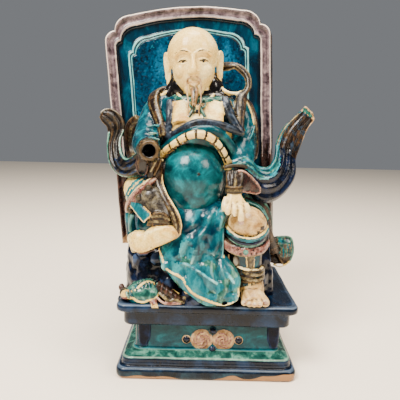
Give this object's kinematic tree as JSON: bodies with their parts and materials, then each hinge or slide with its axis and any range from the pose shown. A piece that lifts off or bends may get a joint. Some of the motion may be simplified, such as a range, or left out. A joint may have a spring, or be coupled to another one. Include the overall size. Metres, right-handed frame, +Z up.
{
  "type": "seated figure ornament",
  "caption": "Robed, armoured figure seated on a rock before a tall framed throne back, on a stepped plinth, modelled and fired as one piece of glazed stoneware.",
  "frame": {"origin": "centre of the plinth's flat underside, on the surface it stands on", "axes": "+Z up, the figure faces -Y, +X to the viewer's right when looking at its front"},
  "size_m": [0.3106, 0.1979, 0.521],
  "materials": {
    "turquoise_glaze": "lead-alkaline turquoise glaze, glossy, thin on the edges and dark in the hollows"
  },
  "bodies": {
    "root": {"enthroned_figure": "turquoise_glaze"}
  },
  "joints": []
}
